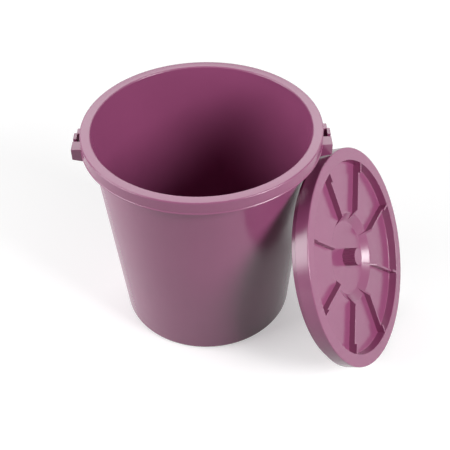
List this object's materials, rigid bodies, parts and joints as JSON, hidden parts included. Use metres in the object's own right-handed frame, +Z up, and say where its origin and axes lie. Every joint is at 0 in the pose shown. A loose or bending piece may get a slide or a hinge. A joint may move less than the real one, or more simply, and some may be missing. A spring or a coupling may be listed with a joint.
{
  "type": "bucket",
  "caption": "Tapered round plastic bucket with a flat skirted rim and side lugs, its ribbed round lid taken off and leaning against the side.",
  "frame": {"origin": "centre of the bucket's flat base, on the surface that it stands on", "axes": "+Z up along the bucket's axis; +X towards the lug on the side where the lid leans; -Y towards the side that the picture shows"},
  "size_m": [0.4478, 0.3716, 0.298],
  "materials": {
    "purple_plastic": "satin"
  },
  "bodies": {
    "root": {"bucket": "purple_plastic", "lid": "purple_plastic"}
  },
  "joints": []
}
